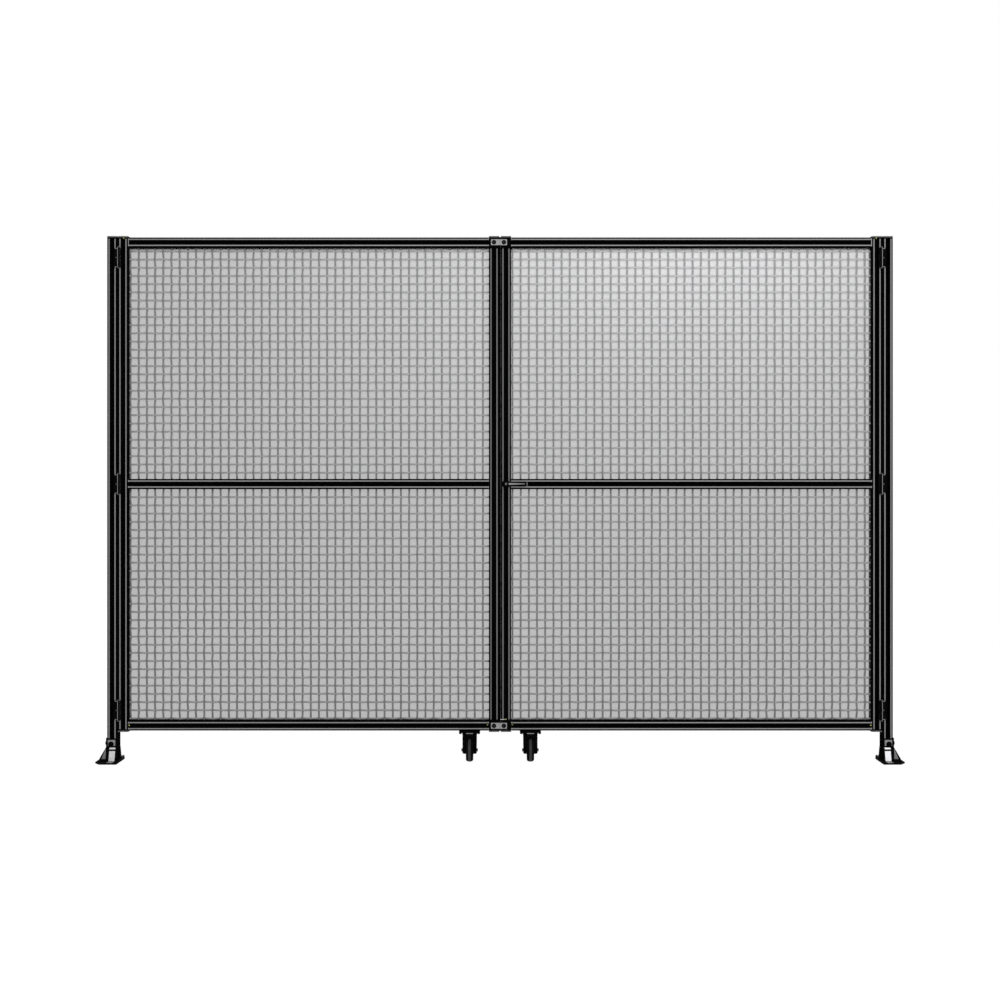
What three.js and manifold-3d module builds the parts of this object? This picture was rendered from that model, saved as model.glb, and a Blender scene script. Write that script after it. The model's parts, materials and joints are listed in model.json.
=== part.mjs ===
// Wire mesh partition with a pair of door leaves between two floor-mounted posts.
// Millimetres, +Z up. The front faces -Y. The origin is on the floor, midway between the posts.

import * as THREE from 'three';
import { mergeVertices } from 'three/addons/utils/BufferGeometryUtils.js';
import Module from 'manifold-3d';

const wasm = await Module();
wasm.setup();

// ---- Driving dimensions ----

const GAP = 0.3; // clearance kept between pieces that touch on the real object
const OVERLAP = 1; // how far one shape runs into the next where they are joined, and a cutter runs past

// Square T-slot profile
const PROFILE = 45;
const CORNER_RADIUS = 4;
const SLOT_MOUTH = 10;
const SLOT_LIP = 4.5;
const SLOT_DEPTH = 14.5;
const CAVITY_WIDTH = 23;
const CAVITY_STRAIGHT = 3;
const CAVITY_FLOOR = 10;
const CORE_BORE = 12;
const CORNER_HOLLOW = 6;
const CORNER_WALL = 2.5;

// Door leaves
const STILE_LENGTH = 2160;
const RAIL_LENGTH = 1578;
const MEETING_GAP = 7.5;
const CAP_THICKNESS = 5;
const MESH_THICKNESS = 0.8;
const MESH_EDGE_DEPTH = 8; // how far a mesh panel reaches into the slots around it

// Hinges: thin leaves in the gap beside the post, barrel in front of the door's stile
const HINGE_INSET = 90; // centre of the outer hinges from the ends of the stile
const HINGE_LEAF_THICKNESS = 1;
const HINGE_LEAF_DEPTH = 38;
const HINGE_LEAF_SPACING = 0.4;
const HINGE_BARREL = 12.7;
const KNUCKLE_LENGTH = 43;
const STRAP_ROOT = 2; // how far the strap from a leaf runs into its knuckle
const STRAP_HEIGHT = 4; // of the strap's root, from the hinge's axis towards the stile
const PIN_DIAMETER = 6;
const PIN_HEAD_DIAMETER = 9.5;
const PIN_HEAD_HEIGHT = 4;

// Feet
const FOOT_PLATE = 6;
const FOOT_FRONT_REACH = 55; // beyond the post, to the front and to the rear
const FOOT_SIDE_REACH = 40; // beyond the post, to its outer side
const FOOT_FRONT_ARM = 22; // how far the front and rear arms reach beyond the post
const FOOT_INNER_LIP = 15;
const FOOT_INNER_CUT = 30; // from the post's middle back to where the plate's inner edge slants away
const FOOT_CHAMFER = 25;
const FOOT_ARM_HEIGHT = 102;
const FOOT_ARM_THICKNESS = 5;
const FOOT_ARM_WIDTH = 38;
const GUSSET_THICKNESS = 5;
const GUSSET_HEIGHT = 57;
const GUSSET_TOP = 3; // a gusset's width at its top, beyond the arm's plate
const GUSSET_SETBACK = 2; // of a gusset's toe from the edge of the base
const WEB_TOP = 63;
const WEB_SHOULDER = 55;
const WEB_STEP = 5;
const WEB_REACH = 12;
const ANCHOR_HOLE = 11;

// Casters
const CASTER_HEIGHT = 135;
const CASTER_OFFSET = 133; // from the middle of the partition
const CASTER_TRAIL = 16; // of the axle behind the swivel axis; at rest it points to the front
const CASTER_PLATE_LENGTH = 92;
const CASTER_PLATE_WIDTH = 76;
const CASTER_PLATE_THICKNESS = 6;
const RACE_DIAMETER = 72;
const RACE_HEIGHT = 6;
const HEAD_DIAMETER = 66;
const HEAD_HEIGHT = 7;
const KINGPIN_DIAMETER = 12;
const KINGPIN_RECESS = 1; // of its end, below the top of the plate
const FORK_WIDTH = 62;
const FORK_THICKNESS = 4;
const FORK_CROWN_LENGTH = 64;
const FORK_SHOULDER = 12; // height of the cheeks' straight edges under the crown
const FORK_BOSS_RADIUS = 15;
const WHEEL_DIAMETER = 100;
const TREAD_WIDTH = 31;
const TREAD_ROUNDING = 4;
const TREAD_DEPTH = 12;
const WHEEL_WEB = 16;
const HUB_DIAMETER = 28;
const HUB_CLEARANCE = 1; // each side, between the wheel's hub and the fork
const AXLE_DIAMETER = 8;
const AXLE_HEAD = 14;
const AXLE_HEAD_HEIGHT = 5;

// Latch
const ROSE_DIAMETER = 36;
const ROSE_THICKNESS = 5;
const LEVER_HUB = 20;
const LEVER_LENGTH = 95;
const LEVER_HEIGHT = 17;
const LEVER_THICKNESS = 9;
const LEVER_STANDOFF = 8; // from the rose to the back of the arm
const TONGUE_OVERLAP = 22; // of the tongue behind the other leaf's stile
const TONGUE_WIDTH = 16;
const TONGUE_THICKNESS = 5;
const TONGUE_CLEARANCE = 1;

// Catch plates over the meeting gap, one half on each leaf
const CATCH_HEIGHT = 33;
const CATCH_THICKNESS = 3;
const CATCH_LEFT_END = 43;
const CATCH_RIGHT_END = 34;
const CATCH_SPLIT = 0.6;
const CATCH_HOLE = 8.4;
const CATCH_LEFT_HOLE = 26.25;
const CATCH_RIGHT_HOLE = 17;

// Flats that round shapes are drawn with
const ROUND_STEPS = 20;
const WHEEL_STEPS = 36;
const CORNER_STEPS = 3;
const BAR_END_STEPS = 8;
const HEX = 6;

// ---- Places worked out from the dimensions ----

const HALF = PROFILE / 2;
const HINGE_GAP = 2 * (GAP + HINGE_LEAF_THICKNESS) + HINGE_LEAF_SPACING;
const LEAF_BOTTOM = CASTER_HEIGHT;
const LEAF_TOP = LEAF_BOTTOM + STILE_LENGTH;
const LEAF_MIDDLE = LEAF_BOTTOM + STILE_LENGTH / 2;
const TOP_RAIL_Z = LEAF_TOP - HALF;
const BOTTOM_RAIL_Z = LEAF_BOTTOM + HALF;
const MEETING_STILE_X = MEETING_GAP / 2 + HALF;
const RAIL_START_X = MEETING_STILE_X + HALF + GAP;
const HINGE_STILE_X = RAIL_START_X + RAIL_LENGTH + GAP + HALF;
const HINGE_AXIS_X = HINGE_STILE_X + HALF + HINGE_GAP / 2 - HINGE_BARREL / 2;
const HINGE_AXIS_Y = -(HALF + GAP + HINGE_BARREL / 2);
const POST_X = HINGE_STILE_X + PROFILE + HINGE_GAP;
const WHEEL_RADIUS = WHEEL_DIAMETER / 2;

// ---- Materials ----

function material(color, roughness, metalness) {
  return new THREE.MeshStandardMaterial({ color, roughness, metalness });
}

const FINISH = {
  profile: [0x2b2d30, 0.4, 0.6],
  plate: [0x929292, 0.4, 0.8],
  black: [0x141414, 0.5, 0.2],
  cast: [0x8a8c8e, 0.5, 0.6],
  mesh: [0x8c8e90, 0.45, 0.7],
  rubber: [0x1b1b1b, 0.8, 0],
};

// ---- Solid helpers ----

function signedVolume(geometry) {
  const at = geometry.attributes.position;
  const [a, b, c] = [new THREE.Vector3(), new THREE.Vector3(), new THREE.Vector3()];
  let volume = 0;
  for (let i = 0; i < geometry.index.count; i += 3) {
    a.fromBufferAttribute(at, geometry.index.getX(i));
    b.fromBufferAttribute(at, geometry.index.getX(i + 1));
    c.fromBufferAttribute(at, geometry.index.getX(i + 2));
    volume += a.dot(b.cross(c)) / 6;
  }
  return volume;
}

function turnFacesOver(geometry) {
  const index = geometry.index.array;
  for (let i = 0; i < index.length; i += 3) {
    [index[i], index[i + 1]] = [index[i + 1], index[i]];
  }
}

// Joins shared corners and makes the faces point out.
function closed(geometry) {
  const bare = geometry.clone();
  bare.deleteAttribute('normal');
  bare.deleteAttribute('uv');
  const merged = mergeVertices(bare, 1e-4);
  if (signedVolume(merged) < 0) turnFacesOver(merged);
  return merged;
}

function toManifold(geometry) {
  const merged = closed(geometry);
  return new wasm.Manifold(new wasm.Mesh({
    numProp: 3,
    vertProperties: new Float32Array(merged.attributes.position.array),
    triVerts: new Uint32Array(merged.index.array),
  }));
}

function toGeometry(manifold) {
  const mesh = manifold.getMesh();
  const geometry = new THREE.BufferGeometry();
  geometry.setAttribute('position', new THREE.BufferAttribute(mesh.vertProperties, 3));
  geometry.setIndex(new THREE.BufferAttribute(mesh.triVerts, 1));
  return geometry;
}

function join(...geometries) {
  return toGeometry(geometries.map(toManifold).reduce((whole, next) => whole.add(next)));
}

function cut(geometry, ...tools) {
  return toGeometry(tools.map(toManifold).reduce((left, tool) => left.subtract(tool), toManifold(geometry)));
}

function mirrored(geometry) {
  const copy = closed(geometry);
  copy.scale(-1, 1, 1);
  turnFacesOver(copy);
  return copy;
}

function box(x0, x1, y0, y1, z0, z1) {
  return new THREE.BoxGeometry(x1 - x0, y1 - y0, z1 - z0)
    .translate((x0 + x1) / 2, (y0 + y1) / 2, (z0 + z1) / 2);
}

function rodX(diameter, x0, x1, steps = ROUND_STEPS) {
  return new THREE.CylinderGeometry(diameter / 2, diameter / 2, x1 - x0, steps)
    .rotateZ(Math.PI / 2).translate((x0 + x1) / 2, 0, 0);
}

function rodY(diameter, y0, y1) {
  return new THREE.CylinderGeometry(diameter / 2, diameter / 2, y1 - y0, ROUND_STEPS)
    .translate(0, (y0 + y1) / 2, 0);
}

function rodZ(diameter, z0, z1) {
  return new THREE.CylinderGeometry(diameter / 2, diameter / 2, z1 - z0, ROUND_STEPS)
    .rotateX(Math.PI / 2).translate(0, 0, (z0 + z1) / 2);
}

function extrude(shape, depth, curveSegments = CORNER_STEPS) {
  return new THREE.ExtrudeGeometry(shape, { depth, bevelEnabled: false, curveSegments });
}

function outline(points) {
  return new THREE.Shape(points.map(([x, y]) => new THREE.Vector2(x, y)));
}

// ---- T-slot profile ----

// One side of the section, from a corner's round to the next: a slot with its undercut.
function slotSide() {
  const mouth = SLOT_MOUTH / 2;
  const cavity = CAVITY_WIDTH / 2;
  const floor = CAVITY_FLOOR / 2;
  const lip = HALF - SLOT_LIP;
  const shoulder = lip - CAVITY_STRAIGHT;
  const bottom = HALF - SLOT_DEPTH;
  const half = [[mouth, HALF], [mouth, lip], [cavity, lip], [cavity, shoulder], [floor, bottom]];
  return [...half, ...half.toReversed().map(([x, y]) => [-x, y])];
}

function roundedCorner() {
  const centre = HALF - CORNER_RADIUS;
  return [0, 1, 2].map((step) => {
    const angle = Math.PI / 2 + step * Math.PI / 4;
    return [-centre + CORNER_RADIUS * Math.cos(angle), centre + CORNER_RADIUS * Math.sin(angle)];
  });
}

function turned([x, y], quarter) {
  const angle = quarter * Math.PI / 2;
  return [x * Math.cos(angle) - y * Math.sin(angle), x * Math.sin(angle) + y * Math.cos(angle)];
}

function squarePath(size, x, y) {
  const path = new THREE.Path();
  path.moveTo(x - size / 2, y - size / 2);
  path.lineTo(x - size / 2, y + size / 2);
  path.lineTo(x + size / 2, y + size / 2);
  path.lineTo(x + size / 2, y - size / 2);
  path.closePath();
  return path;
}

function circlePath(diameter, x = 0, y = 0) {
  const path = new THREE.Path();
  path.absarc(x, y, diameter / 2, 0, 2 * Math.PI, true);
  return path;
}

function profileSection() {
  const side = [...slotSide(), ...roundedCorner()];
  const points = [0, 1, 2, 3].flatMap((quarter) => side.map((point) => turned(point, quarter)));
  const section = outline(points);
  section.holes.push(circlePath(CORE_BORE));
  const hollow = HALF - CORNER_WALL - CORNER_HOLLOW / 2;
  for (const x of [-hollow, hollow]) {
    for (const y of [-hollow, hollow]) section.holes.push(squarePath(CORNER_HOLLOW, x, y));
  }
  return section;
}

function profileUp(length) {
  return extrude(profileSection(), length);
}

function profileAcross(length) {
  return profileUp(length).rotateY(Math.PI / 2);
}

function endCap() {
  const centre = HALF - CORNER_RADIUS;
  const shape = new THREE.Shape();
  [[1, 1], [-1, 1], [-1, -1], [1, -1]].forEach(([x, y], corner) => {
    const start = corner * Math.PI / 2;
    shape.absarc(x * centre, y * centre, CORNER_RADIUS, start, start + Math.PI / 2, false);
  });
  return extrude(shape, CAP_THICKNESS);
}

// ---- Mesh panel: a plain sheet with a thicker rim that sits in the slots ----

function panelBlock(width, height, thickness) {
  return box(-width / 2, width / 2, -thickness / 2, thickness / 2, -height / 2, height / 2);
}

function meshPanel(width, height) {
  const rimThickness = SLOT_MOUTH - 2 * GAP;
  const openWidth = width - 2 * MESH_EDGE_DEPTH;
  const openHeight = height - 2 * MESH_EDGE_DEPTH;
  const opening = panelBlock(openWidth, openHeight, rimThickness + 2 * OVERLAP);
  const rim = cut(panelBlock(width, height, rimThickness), opening);
  return join(rim, panelBlock(openWidth + 2 * OVERLAP, openHeight + 2 * OVERLAP, MESH_THICKNESS));
}

// ---- Hinges, drawn about their own axis, for the right-hand side of the partition ----

// The two leaves lie on either side of the plane that touches the barrel's outer side. The post's half
// has its leaf beyond that plane and the lower knuckle, the door's half has the other leaf and the upper.
function hingeHalf(towardsPost) {
  const side = towardsPost ? 1 : -1;
  const plane = HINGE_BARREL / 2;
  const inner = plane + side * HINGE_LEAF_SPACING / 2;
  const outer = inner + side * HINGE_LEAF_THICKNESS;
  const [x0, x1] = [Math.min(inner, outer), Math.max(inner, outer)];
  const end = KNUCKLE_LENGTH + HINGE_LEAF_SPACING / 2;
  const z0 = towardsPost ? -end : end - KNUCKLE_LENGTH;
  const z1 = z0 + KNUCKLE_LENGTH;
  const face = -HALF - HINGE_AXIS_Y;
  const leaf = box(x0, x1, face, face + HINGE_LEAF_DEPTH, -end, end);
  const strap = box(x0, x1, 0, face + OVERLAP, z0, z1);
  const root = box(plane - STRAP_ROOT, x1, 0, STRAP_HEIGHT, z0, z1);
  const half = join(leaf, strap, root, rodZ(HINGE_BARREL, z0, z1));
  return cut(half, rodZ(PIN_DIAMETER + 2 * GAP, z0 - OVERLAP, z1 + OVERLAP));
}

function hingePin() {
  const end = KNUCKLE_LENGTH + HINGE_LEAF_SPACING / 2 + GAP;
  return join(
    rodZ(PIN_DIAMETER, -end - OVERLAP, end + OVERLAP),
    rodZ(PIN_HEAD_DIAMETER, -end - PIN_HEAD_HEIGHT, -end),
    rodZ(PIN_HEAD_DIAMETER, end, end + PIN_HEAD_HEIGHT),
  );
}

// ---- Foot, drawn for the right-hand post: +X is the outer side ----

// A rib in the XZ plane, its outline given by how far out and how high each of its corners is.
function rib(corners, y0, y1) {
  const front = HALF + GAP + FOOT_ARM_THICKNESS;
  const shape = outline(corners.map(([out, up]) => [front + out, up]));
  return extrude(shape, y1 - y0).rotateX(Math.PI / 2).translate(0, y1, 0);
}

// An arm on the +X face: plate against the post, two gussets and a sloping web between them.
function footArm(reach) {
  const face = HALF + GAP;
  const base = FOOT_PLATE - OVERLAP;
  const toe = reach - GAP - FOOT_ARM_THICKNESS - GUSSET_SETBACK;
  const gusset = [[-OVERLAP, base], [toe, base], [toe, FOOT_PLATE],
    [GUSSET_TOP, GUSSET_HEIGHT], [-OVERLAP, GUSSET_HEIGHT]];
  const web = [[-OVERLAP, base], [WEB_REACH, base], [WEB_REACH, FOOT_PLATE],
    [WEB_STEP, WEB_SHOULDER - WEB_STEP], [WEB_STEP, WEB_SHOULDER], [0, WEB_TOP], [-OVERLAP, WEB_TOP]];
  const edge = FOOT_ARM_WIDTH / 2;
  const inside = edge - GUSSET_THICKNESS;
  return join(
    box(face, face + FOOT_ARM_THICKNESS, -edge, edge, 0, FOOT_ARM_HEIGHT),
    rib(gusset, -edge, -inside),
    rib(gusset, inside, edge),
    rib(web, -inside - OVERLAP, inside + OVERLAP),
  );
}

function footPlate() {
  const side = HALF + FOOT_SIDE_REACH;
  const front = HALF + FOOT_FRONT_REACH;
  const inner = -HALF - FOOT_INNER_LIP;
  const shape = outline([[inner, -front], [side - FOOT_CHAMFER, -front], [side, FOOT_CHAMFER - front],
    [side, front - FOOT_CHAMFER], [side - FOOT_CHAMFER, front], [-FOOT_ARM_WIDTH / 2, front],
    [inner, FOOT_INNER_CUT]]);
  shape.holes.push(squarePath(PROFILE + 2 * GAP, 0, 0));
  const anchorX = HALF + FOOT_SIDE_REACH / 2;
  const anchorY = HALF + FOOT_FRONT_REACH / 2;
  shape.holes.push(circlePath(ANCHOR_HOLE, anchorX, -anchorY));
  shape.holes.push(circlePath(ANCHOR_HOLE, anchorX, anchorY));
  return extrude(shape, FOOT_PLATE);
}

function foot() {
  const rear = footArm(FOOT_FRONT_ARM).rotateZ(Math.PI / 2);
  const front = footArm(FOOT_FRONT_ARM).rotateZ(-Math.PI / 2);
  return join(footPlate(), footArm(FOOT_SIDE_REACH), rear, front);
}

// ---- Caster, drawn about its swivel axis, floor at z = 0 ----

const CASTER_TOP = CASTER_HEIGHT - GAP;
const RACE_BOTTOM = CASTER_TOP - CASTER_PLATE_THICKNESS - RACE_HEIGHT;
const HEAD_TOP = RACE_BOTTOM - GAP;
const CROWN_TOP = HEAD_TOP - HEAD_HEIGHT;

function casterPlate() {
  const plateBottom = CASTER_TOP - CASTER_PLATE_THICKNESS;
  const plate = box(-CASTER_PLATE_LENGTH / 2, CASTER_PLATE_LENGTH / 2,
    -CASTER_PLATE_WIDTH / 2, CASTER_PLATE_WIDTH / 2, plateBottom, CASTER_TOP);
  const race = rodZ(RACE_DIAMETER, RACE_BOTTOM, plateBottom + OVERLAP);
  const bore = rodZ(KINGPIN_DIAMETER + 2 * GAP, RACE_BOTTOM - OVERLAP, CASTER_TOP + OVERLAP);
  return cut(join(plate, race), bore);
}

// The side of the fork, from its crown down to the boss around the axle.
function forkCheek(x0, x1) {
  const half = FORK_CROWN_LENGTH / 2;
  const shape = new THREE.Shape();
  shape.moveTo(half, CROWN_TOP);
  shape.lineTo(-half, CROWN_TOP);
  shape.lineTo(-half, CROWN_TOP - FORK_SHOULDER);
  shape.absarc(CASTER_TRAIL, WHEEL_RADIUS, FORK_BOSS_RADIUS, Math.PI, 2 * Math.PI, false);
  shape.lineTo(CASTER_TRAIL + FORK_BOSS_RADIUS, CROWN_TOP - FORK_SHOULDER);
  return extrude(shape, x1 - x0, BAR_END_STEPS)
    .rotateX(Math.PI / 2).rotateZ(Math.PI / 2).translate(x0, 0, 0);
}

function casterFork() {
  const outer = FORK_WIDTH / 2;
  const inner = outer - FORK_THICKNESS;
  const crown = box(-outer, outer, -FORK_CROWN_LENGTH / 2, FORK_CROWN_LENGTH / 2,
    CROWN_TOP - FORK_THICKNESS, CROWN_TOP);
  const head = rodZ(HEAD_DIAMETER, CROWN_TOP - OVERLAP, HEAD_TOP);
  const kingpin = rodZ(KINGPIN_DIAMETER, HEAD_TOP - OVERLAP, CASTER_TOP - KINGPIN_RECESS);
  const body = join(crown, head, kingpin, forkCheek(-outer, -inner), forkCheek(inner, outer));
  const hole = rodX(AXLE_DIAMETER + 2 * GAP, -outer - OVERLAP, outer + OVERLAP);
  return cut(body, hole.translate(0, CASTER_TRAIL, WHEEL_RADIUS));
}

function casterWheel() {
  const bore = AXLE_DIAMETER / 2 + GAP;
  const hub = FORK_WIDTH / 2 - FORK_THICKNESS - HUB_CLEARANCE;
  const tread = TREAD_WIDTH / 2;
  const rim = WHEEL_RADIUS - TREAD_DEPTH;
  const halfProfile = [[bore, hub], [HUB_DIAMETER / 2, hub], [HUB_DIAMETER / 2, WHEEL_WEB / 2],
    [rim, WHEEL_WEB / 2], [rim, tread], [WHEEL_RADIUS - TREAD_ROUNDING, tread],
    [WHEEL_RADIUS, tread - TREAD_ROUNDING]];
  const loop = [...halfProfile, ...halfProfile.toReversed().map(([r, x]) => [r, -x]), halfProfile[0]];
  const wheel = new THREE.LatheGeometry(loop.map(([r, x]) => new THREE.Vector2(r, x)), WHEEL_STEPS);
  return wheel.rotateZ(Math.PI / 2).translate(0, CASTER_TRAIL, WHEEL_RADIUS);
}

function casterAxle() {
  const face = FORK_WIDTH / 2 + GAP;
  return join(
    rodX(AXLE_DIAMETER, -face - OVERLAP, face + OVERLAP),
    rodX(AXLE_HEAD, -face - AXLE_HEAD_HEIGHT, -face, HEX),
    rodX(AXLE_HEAD, face, face + AXLE_HEAD_HEIGHT, HEX),
  ).translate(0, CASTER_TRAIL, WHEEL_RADIUS);
}

// ---- Latch, drawn about its spindle, with the stile's middle plane at y = 0 ----

const SPINDLE_DIAMETER = SLOT_MOUTH - 2 * GAP;
const ROSE_FRONT = -HALF - GAP - ROSE_THICKNESS;

function latchRose() {
  const disc = rodY(ROSE_DIAMETER, ROSE_FRONT, -HALF - GAP);
  return cut(disc, rodY(SPINDLE_DIAMETER + 2 * GAP, ROSE_FRONT - OVERLAP, -HALF));
}

// A flat bar in the XZ plane with one round end, from the spindle to x = length.
function roundEndedBar(length, width, y0, y1) {
  const shape = new THREE.Shape();
  const radius = width / 2;
  shape.moveTo(0, -radius);
  shape.absarc(length - radius, 0, radius, -Math.PI / 2, Math.PI / 2, false);
  shape.lineTo(0, radius);
  return extrude(shape, y1 - y0, BAR_END_STEPS).rotateX(Math.PI / 2).translate(0, y1, 0);
}

function latchLever() {
  const armBack = ROSE_FRONT - LEVER_STANDOFF;
  const armFront = armBack - LEVER_THICKNESS;
  const tongueFront = HALF + TONGUE_CLEARANCE;
  const tongueBack = tongueFront + TONGUE_THICKNESS;
  const tongueLength = HALF + MEETING_GAP + TONGUE_OVERLAP;
  return join(
    rodY(LEVER_HUB, armFront, ROSE_FRONT - GAP),
    roundEndedBar(LEVER_LENGTH, LEVER_HEIGHT, armFront, armBack),
    rodY(SPINDLE_DIAMETER, ROSE_FRONT - OVERLAP, tongueBack),
    rodY(LEVER_HUB, HALF + GAP, tongueBack),
    roundEndedBar(tongueLength, TONGUE_WIDTH, tongueFront, tongueBack).rotateY(Math.PI / 2),
  );
}

// ---- Catch half-plate, drawn from the middle plane towards +X ----

function catchPlate(end, hole) {
  const shape = outline([[CATCH_SPLIT / 2, -CATCH_HEIGHT / 2], [end, -CATCH_HEIGHT / 2],
    [end, CATCH_HEIGHT / 2], [CATCH_SPLIT / 2, CATCH_HEIGHT / 2]]);
  shape.holes.push(circlePath(CATCH_HOLE, hole));
  return extrude(shape, CATCH_THICKNESS).rotateX(Math.PI / 2).translate(0, -HALF - GAP, 0);
}

// ---- Assembly ----

const partition = new THREE.Group();

function addPiece(name, geometry, finish, x = 0, y = 0, z = 0) {
  const piece = new THREE.Mesh(closed(geometry), material(...FINISH[finish]));
  piece.name = name;
  piece.position.set(x, y, z);
  partition.add(piece);
}

// Adds a piece drawn for the right-hand side to either side.
function addSided(side, name, geometry, finish, x, y, z) {
  const shape = side === 'right' ? geometry : mirrored(geometry);
  addPiece(`${side}_${name}`, shape, finish, side === 'right' ? x : -x, y, z);
}

function addPost(side) {
  addSided(side, 'post', profileUp(LEAF_TOP), 'profile', POST_X, 0, 0);
  addSided(side, 'post_cap', endCap(), 'black', POST_X, 0, LEAF_TOP + GAP);
  addSided(side, 'foot', foot(), 'cast', POST_X, 0, 0);
}

function addHinges(side) {
  const heights = {
    bottom: LEAF_BOTTOM + HINGE_INSET,
    middle: LEAF_MIDDLE,
    top: LEAF_TOP - HINGE_INSET,
  };
  for (const [place, z] of Object.entries(heights)) {
    addSided(side, `${place}_hinge_post_half`, hingeHalf(true), 'black', HINGE_AXIS_X, HINGE_AXIS_Y, z);
    addSided(side, `${place}_hinge_door_half`, hingeHalf(false), 'black', HINGE_AXIS_X, HINGE_AXIS_Y, z);
    addSided(side, `${place}_hinge_pin`, hingePin(), 'plate', HINGE_AXIS_X, HINGE_AXIS_Y, z);
  }
}

function addStile(side, name, x, geometry) {
  addSided(side, name, geometry, 'profile', x, 0, LEAF_BOTTOM);
  addSided(side, `${name}_top_cap`, endCap(), 'black', x, 0, LEAF_TOP + GAP);
  addSided(side, `${name}_bottom_cap`, endCap(), 'black', x, 0, LEAF_BOTTOM - GAP - CAP_THICKNESS);
}

function meetingStile(side) {
  const stile = profileUp(STILE_LENGTH);
  if (side === 'left') return stile;
  const spindleHole = rodY(SPINDLE_DIAMETER + 2 * GAP, -HALF, HALF).translate(0, 0, STILE_LENGTH / 2);
  return cut(stile, spindleHole);
}

function addRails(side) {
  const heights = { top: TOP_RAIL_Z, mid: LEAF_MIDDLE, bottom: BOTTOM_RAIL_Z };
  for (const [place, z] of Object.entries(heights)) {
    addSided(side, `${place}_rail`, profileAcross(RAIL_LENGTH), 'profile', RAIL_START_X, 0, z);
  }
}

function addMesh(side) {
  const width = HINGE_STILE_X - MEETING_STILE_X - PROFILE + 2 * MESH_EDGE_DEPTH;
  const middleX = (HINGE_STILE_X + MEETING_STILE_X) / 2;
  const spans = { upper: [LEAF_MIDDLE, TOP_RAIL_Z], lower: [BOTTOM_RAIL_Z, LEAF_MIDDLE] };
  for (const [place, [low, high]] of Object.entries(spans)) {
    const height = high - low - PROFILE + 2 * MESH_EDGE_DEPTH;
    addSided(side, `${place}_mesh`, meshPanel(width, height), 'mesh', middleX, 0, (low + high) / 2);
  }
}

function addCatches(side) {
  const ends = { left: CATCH_LEFT_END, right: CATCH_RIGHT_END };
  const holes = { left: CATCH_LEFT_HOLE, right: CATCH_RIGHT_HOLE };
  const [end, hole] = [ends[side], holes[side]];
  addSided(side, 'top_catch_plate', catchPlate(end, hole), 'plate', 0, 0, TOP_RAIL_Z);
  addSided(side, 'bottom_catch_plate', catchPlate(end, hole), 'plate', 0, 0, BOTTOM_RAIL_Z);
}

function addCaster(side) {
  addSided(side, 'caster_plate', casterPlate(), 'black', CASTER_OFFSET, 0, 0);
  addSided(side, 'caster_fork', casterFork().rotateZ(Math.PI), 'black', CASTER_OFFSET, 0, 0);
  addSided(side, 'caster_wheel', casterWheel().rotateZ(Math.PI), 'rubber', CASTER_OFFSET, 0, 0);
  addSided(side, 'caster_axle', casterAxle().rotateZ(Math.PI), 'plate', CASTER_OFFSET, 0, 0);
}

for (const side of ['left', 'right']) {
  addPost(side);
  addHinges(side);
  addStile(side, 'hinge_stile', HINGE_STILE_X, profileUp(STILE_LENGTH));
  addStile(side, 'meeting_stile', MEETING_STILE_X, meetingStile(side));
  addRails(side);
  addMesh(side);
  addCatches(side);
  addCaster(side);
}
addPiece('latch_rose', latchRose(), 'black', MEETING_STILE_X, 0, LEAF_MIDDLE);
addPiece('latch_lever', latchLever(), 'black', MEETING_STILE_X, 0, LEAF_MIDDLE);

export default partition;
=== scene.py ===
import json
import math
import random

import bmesh
import bpy
from mathutils import Matrix, Vector


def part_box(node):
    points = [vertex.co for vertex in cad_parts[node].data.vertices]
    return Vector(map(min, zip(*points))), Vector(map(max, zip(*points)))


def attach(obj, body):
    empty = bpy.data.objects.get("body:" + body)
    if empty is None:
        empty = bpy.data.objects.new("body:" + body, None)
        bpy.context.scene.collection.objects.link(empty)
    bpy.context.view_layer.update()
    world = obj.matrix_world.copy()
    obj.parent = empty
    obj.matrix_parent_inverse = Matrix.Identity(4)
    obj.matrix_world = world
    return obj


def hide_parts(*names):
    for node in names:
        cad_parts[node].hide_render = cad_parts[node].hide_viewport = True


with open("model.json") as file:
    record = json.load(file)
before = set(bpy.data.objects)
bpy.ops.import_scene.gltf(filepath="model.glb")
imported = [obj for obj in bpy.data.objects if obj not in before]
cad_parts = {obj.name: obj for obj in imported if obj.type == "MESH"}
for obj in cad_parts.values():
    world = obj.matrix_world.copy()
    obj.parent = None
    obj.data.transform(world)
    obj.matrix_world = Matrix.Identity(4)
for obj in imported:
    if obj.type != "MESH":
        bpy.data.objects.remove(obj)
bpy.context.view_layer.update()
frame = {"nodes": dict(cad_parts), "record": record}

# The frame is the CAD's: X to the right, the front at -Y, +Z up. Shapes are written in millimetres
# and made in metres.
MM = 0.001


def centre_of(node):
    """The middle of a CAD node's box, in millimetres."""
    low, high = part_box(node)
    return Vector([(a + b) / 2 / MM for a, b in zip(low, high)])


HALF = 22.5  # half of a profile's width
SIDES = (("left", -1), ("right", 1))  # each with the sign of its X
POST_X = centre_of("right_post").x
STILE_X = centre_of("right_hinge_stile").x
HINGE_X = centre_of("right_middle_hinge_pin").x
HINGE_HEIGHTS = [(place, centre_of(f"right_{place}_hinge_pin").z) for place in ("bottom", "middle", "top")]
TOP_RAIL_Z = centre_of("right_top_rail").z
BOTTOM_RAIL_Z = centre_of("right_bottom_rail").z
MIDDLE_Z = centre_of("right_mid_rail").z
CASTER_X = centre_of("right_caster_plate").x
WHEEL_Y, WHEEL_Z = centre_of("right_caster_axle").yz
MEETING_X = centre_of("right_meeting_stile").x
LATCH_X = 26.25  # also the place of the left catch screws and of the stop's screw

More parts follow.
